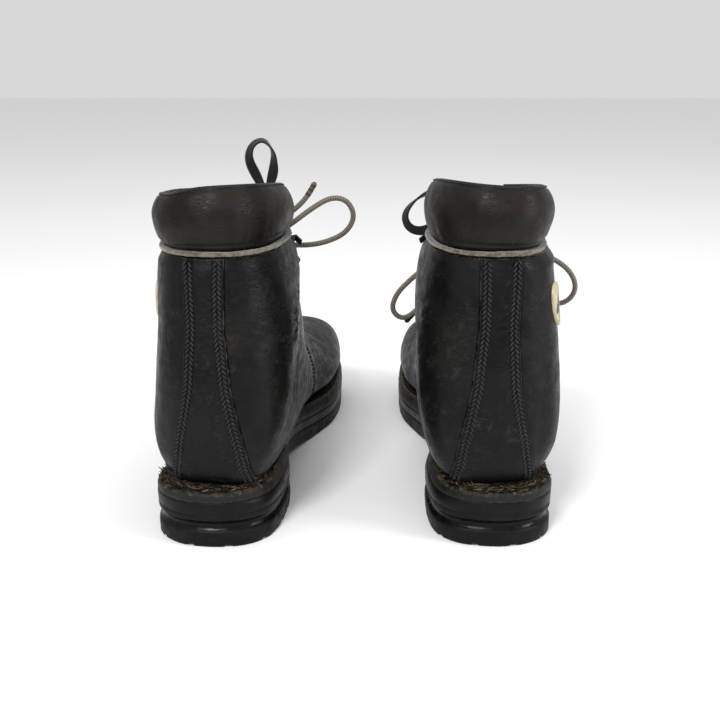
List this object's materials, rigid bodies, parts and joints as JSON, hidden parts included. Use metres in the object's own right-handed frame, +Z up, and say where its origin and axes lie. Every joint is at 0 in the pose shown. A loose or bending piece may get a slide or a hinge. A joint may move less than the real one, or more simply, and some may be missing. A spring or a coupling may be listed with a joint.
{
  "type": "pair of mountaineering boots",
  "caption": "Leather mountaineering boots with padded collars, lugged rubber soles, grooved heels, lace hooks and tied lace bows.",
  "frame": {"origin": "on the ground, at the middle of the box around the pair (free laces left out)", "axes": "+Z up, +Y from heels to toes, +X towards the right boot"},
  "size_m": [0.2706, 0.309, 0.2242],
  "materials": {
    "upper_leather": "waxed smooth, scuffed",
    "welt_leather": "raw worn edge",
    "sole_rubber": "dull with polished edges",
    "spring_steel": "flat",
    "stiffener_board": "matte",
    "lining_fabric": "napped",
    "insole_felt": "felted",
    "piping_leather": "soft",
    "collar_leather": "smooth creased",
    "badge_cream": "matte",
    "hook_metal": "worn black",
    "lace_grey": "braided",
    "lace_black": "flat woven"
  },
  "bodies": {
    "left_boot": {"left_tread_sole": "sole_rubber", "left_heel_block": "sole_rubber", "left_midsole": "sole_rubber", "left_welt": "welt_leather", "left_shank": "spring_steel", "left_vamp": "upper_leather", "left_quarter_lateral": "upper_leather", "left_quarter_medial": "upper_leather", "left_backstay": "upper_leather", "left_counter": "stiffener_board", "left_toe_puff": "stiffener_board", "left_lining": "lining_fabric", "left_insole": "insole_felt", "left_piping": "piping_leather", "left_collar": "collar_leather", "left_badge": "badge_cream", "left_d_rings": "hook_metal", "left_hooks": "hook_metal", "left_outer_lace": "lace_grey", "left_inner_lace": "lace_black", "left_outer_loop_medial": "lace_grey", "left_outer_loop_lateral": "lace_grey", "left_outer_end_medial": "lace_grey", "left_outer_end_lateral": "lace_grey", "left_inner_loop_medial": "lace_black", "left_inner_loop_lateral": "lace_black", "left_inner_end_medial": "lace_black", "left_inner_end_lateral": "lace_black"},
    "left_tongue_flap": {"left_tongue": "collar_leather"},
    "right_boot": {"right_tread_sole": "sole_rubber", "right_heel_block": "sole_rubber", "right_midsole": "sole_rubber", "right_welt": "welt_leather", "right_shank": "spring_steel", "right_vamp": "upper_leather", "right_quarter_lateral": "upper_leather", "right_quarter_medial": "upper_leather", "right_backstay": "upper_leather", "right_counter": "stiffener_board", "right_toe_puff": "stiffener_board", "right_lining": "lining_fabric", "right_insole": "insole_felt", "right_piping": "piping_leather", "right_collar": "collar_leather", "right_badge": "badge_cream", "right_d_rings": "hook_metal", "right_hooks": "hook_metal", "right_outer_lace": "lace_grey", "right_inner_lace": "lace_black", "right_outer_loop_medial": "lace_grey", "right_outer_loop_lateral": "lace_grey", "right_outer_end_medial": "lace_grey", "right_outer_end_lateral": "lace_grey", "right_inner_loop_medial": "lace_black", "right_inner_loop_lateral": "lace_black", "right_inner_end_medial": "lace_black", "right_inner_end_lateral": "lace_black"},
    "right_tongue_flap": {"right_tongue": "collar_leather"}
  },
  "joints": [
    {"name": "right_boot_lift", "type": "slide", "parent": "left_boot", "child": "right_boot", "axis": [0, 0, 1], "range_m": [0, 0.3]},
    {"name": "left_tongue_hinge", "type": "hinge", "parent": "left_boot", "child": "left_tongue_flap", "pos_m": [-0.07922, -0.00872, 0.103], "axis": [0.9877, -0.1564, 0], "range_deg": [0, 8], "stiffness_Nm_per_rad": 0.5, "deforming": ["left_tongue"]},
    {"name": "right_tongue_hinge", "type": "hinge", "parent": "right_boot", "child": "right_tongue_flap", "pos_m": [0.07591, -0.00768, 0.103], "axis": [0.9986, 0.0523, 0], "range_deg": [0, 8], "stiffness_Nm_per_rad": 0.5, "deforming": ["right_tongue"]}
  ]
}
